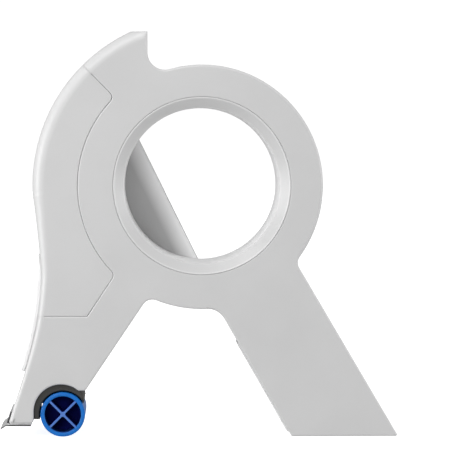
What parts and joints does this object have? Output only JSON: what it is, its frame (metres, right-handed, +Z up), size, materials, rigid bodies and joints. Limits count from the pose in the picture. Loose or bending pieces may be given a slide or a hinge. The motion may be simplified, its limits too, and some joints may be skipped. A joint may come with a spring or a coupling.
{
  "type": "masking tape dispenser",
  "caption": "Hand-held masking tape dispenser with a turning drum, a ribbed press roller, an open leg to stand on and a toothed blade.",
  "frame": {"origin": "On the floor that the tool stands on, under the middle of its bounding box", "axes": "+Z up; +X from the blade towards the leg; -Y faces the closed near side with the drum's flared ring; the drum and the roller turn about Y"},
  "size_m": [0.1864, 0.046, 0.1889],
  "materials": {
    "body": "fine satin light grey moulding",
    "grip": "satin light grey moulding",
    "apron": "satin, slightly darker grey",
    "drum": "satin light grey moulding",
    "guard": "dull charcoal",
    "roller": "glossy bright blue",
    "bush": "natural, waxy",
    "shaft": "ground steel",
    "blade": "plain strip steel",
    "screws": "zinc plated"
  },
  "bodies": {
    "frame": {"near_side_frame": "body", "far_side_frame": "body", "rear_leg_shell": "body", "spine_grip": "grip", "front_apron": "apron", "roller_guard": "guard", "shaft_bush_inner": "bush", "shaft_bush_outer": "bush", "blade_holder": "blade", "cutter_blade": "blade", "blade_screw_1": "screws", "blade_screw_2": "screws", "frame_screw_1": "screws", "frame_screw_2": "screws", "frame_screw_3": "screws", "leg_screw_1": "screws", "leg_screw_2": "screws", "leg_screw_3": "screws", "grip_screw_1": "screws", "grip_screw_2": "screws"},
    "drum": {"hub_drum": "drum"},
    "roller": {"press_roller": "roller", "roller_shaft": "shaft", "shaft_clip": "shaft", "thrust_washer": "bush"}
  },
  "joints": [
    {"name": "drum_spin", "type": "hinge", "parent": "frame", "child": "drum", "pos_m": [0.00125, 0, 0.1171], "axis": [0, 1, 0], "continuous": true},
    {"name": "roller_spin", "type": "hinge", "parent": "frame", "child": "roller", "pos_m": [-0.06375, 0, 0.0104], "axis": [0, 1, 0], "continuous": true}
  ]
}
